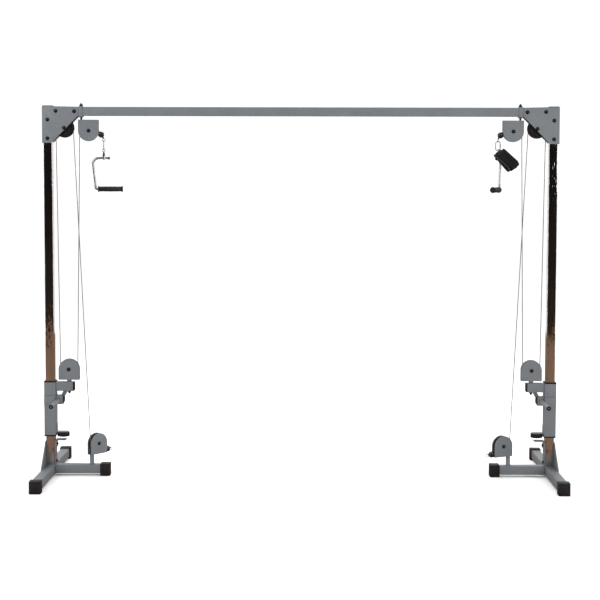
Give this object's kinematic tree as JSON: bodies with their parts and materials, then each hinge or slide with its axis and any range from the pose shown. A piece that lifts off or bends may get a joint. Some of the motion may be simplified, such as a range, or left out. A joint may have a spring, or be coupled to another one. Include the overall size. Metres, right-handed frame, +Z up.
{
  "type": "cable crossover machine",
  "caption": "Plate-loaded cable crossover: two pulley towers on a crossbar, sliding weight carriages, handles and an ankle strap.",
  "frame": {"origin": "middle of the footprint, on the floor", "axes": "+X to the right along the crossbar, +Y to the back, +Z up; the weight horns point to -Y"},
  "size_m": [2.934, 0.964, 2.129],
  "materials": {
    "frame_paint": "silver-grey metallic powder coat",
    "upright_chrome": "polished chrome plate",
    "cap_plastic": "moulded black plastic",
    "foot_rubber": "black moulded rubber",
    "black_steel": "black oxide bolts and nuts",
    "cable_sheath": "clear-coated steel cable",
    "strap_fabric": "black nylon over foam",
    "pulley_nylon": "black fibre-filled nylon",
    "bushing_nylon": "black nylon liner",
    "cap_rubber": "black rubber caps and bumper",
    "stop_rubber": "glossy black rubber ball",
    "hook_steel": "zinc-plated steel",
    "handle_chrome": "chromed steel bar",
    "grip_rubber": "black ribbed rubber"
  },
  "bodies": {
    "frame": {"uprights": "upright_chrome", "upright_caps": "cap_plastic", "crossbar": "frame_paint", "top_gussets": "frame_paint", "base_legs": "frame_paint", "side_legs": "frame_paint", "rubber_feet": "foot_rubber", "frame_fasteners": "black_steel", "stop_brackets": "frame_paint", "swivel_brackets": "frame_paint", "top_cable_wraps": "cable_sheath", "left_cable_runs": "cable_sheath", "right_cable_runs": "cable_sheath"},
    "left_carriage": {"left_carriage_frame": "frame_paint", "left_slide_bushings": "bushing_nylon", "left_weight_horn": "frame_paint", "left_carriage_rubber": "cap_rubber", "left_carriage_housing": "frame_paint", "left_carriage_bolts": "black_steel", "left_carriage_cable": "cable_sheath"},
    "left_carriage_sheave": {"left_carriage_pulley": "pulley_nylon"},
    "left_top_sheave": {"left_top_pulley": "pulley_nylon"},
    "left_upper_swivel": {"left_upper_housing": "frame_paint", "left_upper_bolts": "black_steel", "left_upper_cable": "cable_sheath"},
    "left_upper_sheave": {"left_upper_pulley": "pulley_nylon"},
    "left_cable_end": {"left_upper_stop": "stop_rubber"},
    "left_hook": {"left_snap_hook": "hook_steel", "left_swivel_eye": "hook_steel"},
    "left_grip": {"left_handle": "handle_chrome", "left_handle_grip": "grip_rubber"},
    "left_lower_swivel": {"left_lower_housing": "frame_paint", "left_lower_bolts": "black_steel", "left_lower_cable": "cable_sheath", "left_lower_stop": "stop_rubber"},
    "left_lower_sheave": {"left_lower_pulley": "pulley_nylon"},
    "right_carriage": {"right_carriage_frame": "frame_paint", "right_slide_bushings": "bushing_nylon", "right_weight_horn": "frame_paint", "right_carriage_rubber": "cap_rubber", "right_carriage_housing": "frame_paint", "right_carriage_bolts": "black_steel", "right_carriage_cable": "cable_sheath"},
    "right_carriage_sheave": {"right_carriage_pulley": "pulley_nylon"},
    "right_top_sheave": {"right_top_pulley": "pulley_nylon"},
    "right_upper_swivel": {"right_upper_housing": "frame_paint", "right_upper_bolts": "black_steel", "right_upper_cable": "cable_sheath"},
    "right_upper_sheave": {"right_upper_pulley": "pulley_nylon"},
    "right_cable_end": {"right_upper_stop": "stop_rubber"},
    "right_hook": {"right_snap_hook": "hook_steel", "right_swivel_eye": "hook_steel"},
    "right_grip": {"right_handle": "handle_chrome", "right_handle_grip": "grip_rubber"},
    "right_lower_swivel": {"right_lower_housing": "frame_paint", "right_lower_bolts": "black_steel", "right_lower_cable": "cable_sheath", "right_lower_stop": "stop_rubber"},
    "right_lower_sheave": {"right_lower_pulley": "pulley_nylon"},
    "cuff": {"ankle_strap": "strap_fabric"}
  },
  "joints": [
    {"name": "left_carriage_slide", "type": "slide", "parent": "frame", "child": "left_carriage", "axis": [0, 0, 1], "range_m": [0, 0.75], "deforming": ["left_cable_runs"]},
    {"name": "left_carriage_sheave_spin", "type": "hinge", "parent": "left_carriage", "child": "left_carriage_sheave", "pos_m": [-1.323, 0, 0.612], "axis": [0, 1, 0], "range_deg": [-900, 900]},
    {"name": "left_top_sheave_spin", "type": "hinge", "parent": "frame", "child": "left_top_sheave", "pos_m": [-1.336, -0.01, 1.988], "axis": [0, 1, 0], "continuous": true},
    {"name": "left_upper_swivel_turn", "type": "hinge", "parent": "frame", "child": "left_upper_swivel", "pos_m": [-1.243, 0, 1.973], "axis": [0, 0, 1], "range_deg": [-89, 71]},
    {"name": "left_upper_sheave_spin", "type": "hinge", "parent": "left_upper_swivel", "child": "left_upper_sheave", "pos_m": [-1.20349, 0.00626, 1.973], "axis": [-0.1564, 0.9877, 0], "range_deg": [-1800, 1800]},
    {"name": "left_cable_pull", "type": "slide", "parent": "left_upper_swivel", "child": "left_cable_end", "axis": [0.5234, 0.0829, -0.848], "range_m": [0, 1.5]},
    {"name": "left_hook_swing", "type": "hinge", "parent": "left_cable_end", "child": "left_hook", "pos_m": [-1.11953, 0.01956, 1.91833], "axis": [-0.1564, 0.9877, 0], "range_deg": [-60, 10]},
    {"name": "left_handle_turn", "type": "hinge", "parent": "left_hook", "child": "left_grip", "pos_m": [-1.11953, 0.01956, 1.82133], "axis": [0, 0, 1], "continuous": true},
    {"name": "left_lower_swivel_turn", "type": "hinge", "parent": "frame", "child": "left_lower_swivel", "pos_m": [-1.196, 0, 0.178], "axis": [0, 0, 1], "range_deg": [-133, 37]},
    {"name": "left_lower_sheave_spin", "type": "hinge", "parent": "left_lower_swivel", "child": "left_lower_sheave", "pos_m": [-1.16924, 0.02973, 0.178], "axis": [-0.7431, 0.6691, 0], "continuous": true},
    {"name": "right_carriage_slide", "type": "slide", "parent": "frame", "child": "right_carriage", "axis": [0, 0, 1], "range_m": [0, 0.75], "deforming": ["right_cable_runs"]},
    {"name": "right_carriage_sheave_spin", "type": "hinge", "parent": "right_carriage", "child": "right_carriage_sheave", "pos_m": [1.323, 0, 0.612], "axis": [0, 1, 0], "range_deg": [-900, 900]},
    {"name": "right_top_sheave_spin", "type": "hinge", "parent": "frame", "child": "right_top_sheave", "pos_m": [1.336, -0.01, 1.988], "axis": [0, 1, 0], "continuous": true},
    {"name": "right_upper_swivel_turn", "type": "hinge", "parent": "frame", "child": "right_upper_swivel", "pos_m": [1.243, 0, 1.973], "axis": [0, 0, 1], "range_deg": [-80, 80]},
    {"name": "right_upper_sheave_spin", "type": "hinge", "parent": "right_upper_swivel", "child": "right_upper_sheave", "pos_m": [1.203, 0, 1.973], "axis": [0, 1, 0], "range_deg": [-1800, 1800]},
    {"name": "right_cable_pull", "type": "slide", "parent": "right_upper_swivel", "child": "right_cable_end", "axis": [-0.5299, 0, -0.848], "range_m": [0, 1.5]},
    {"name": "right_hook_swing", "type": "hinge", "parent": "right_cable_end", "child": "right_hook", "pos_m": [1.11799, 0, 1.91833], "axis": [-1, 0, 0], "range_deg": [-35, 35]},
    {"name": "right_handle_turn", "type": "hinge", "parent": "right_hook", "child": "right_grip", "pos_m": [1.11799, 0, 1.82133], "axis": [0, 0, 1], "range_deg": [-35, 3]},
    {"name": "right_lower_swivel_turn", "type": "hinge", "parent": "frame", "child": "right_lower_swivel", "pos_m": [1.196, 0, 0.178], "axis": [0, 0, 1], "range_deg": [-110, 60]},
    {"name": "right_lower_sheave_spin", "type": "hinge", "parent": "right_lower_swivel", "child": "right_lower_sheave", "pos_m": [1.15975, -0.0169, 0.178], "axis": [-0.4226, 0.9063, 0], "continuous": true},
    {"name": "cuff_swing", "type": "hinge", "parent": "right_hook", "child": "cuff", "pos_m": [1.12319, 0.002, 1.87313], "axis": [0, 1, 0], "range_deg": [-18, 0]}
  ],
  "couplings": [
    {"joint": "left_carriage_sheave_spin", "follows": "left_carriage_slide", "rad_per_m": -20.408},
    {"joint": "left_upper_sheave_spin", "follows": "left_carriage_slide", "rad_per_m": 40.816},
    {"joint": "left_cable_pull", "follows": "left_carriage_slide", "ratio": 2},
    {"joint": "right_carriage_sheave_spin", "follows": "right_carriage_slide", "rad_per_m": 20.408},
    {"joint": "right_upper_sheave_spin", "follows": "right_carriage_slide", "rad_per_m": -40.816},
    {"joint": "right_cable_pull", "follows": "right_carriage_slide", "ratio": 2}
  ]
}
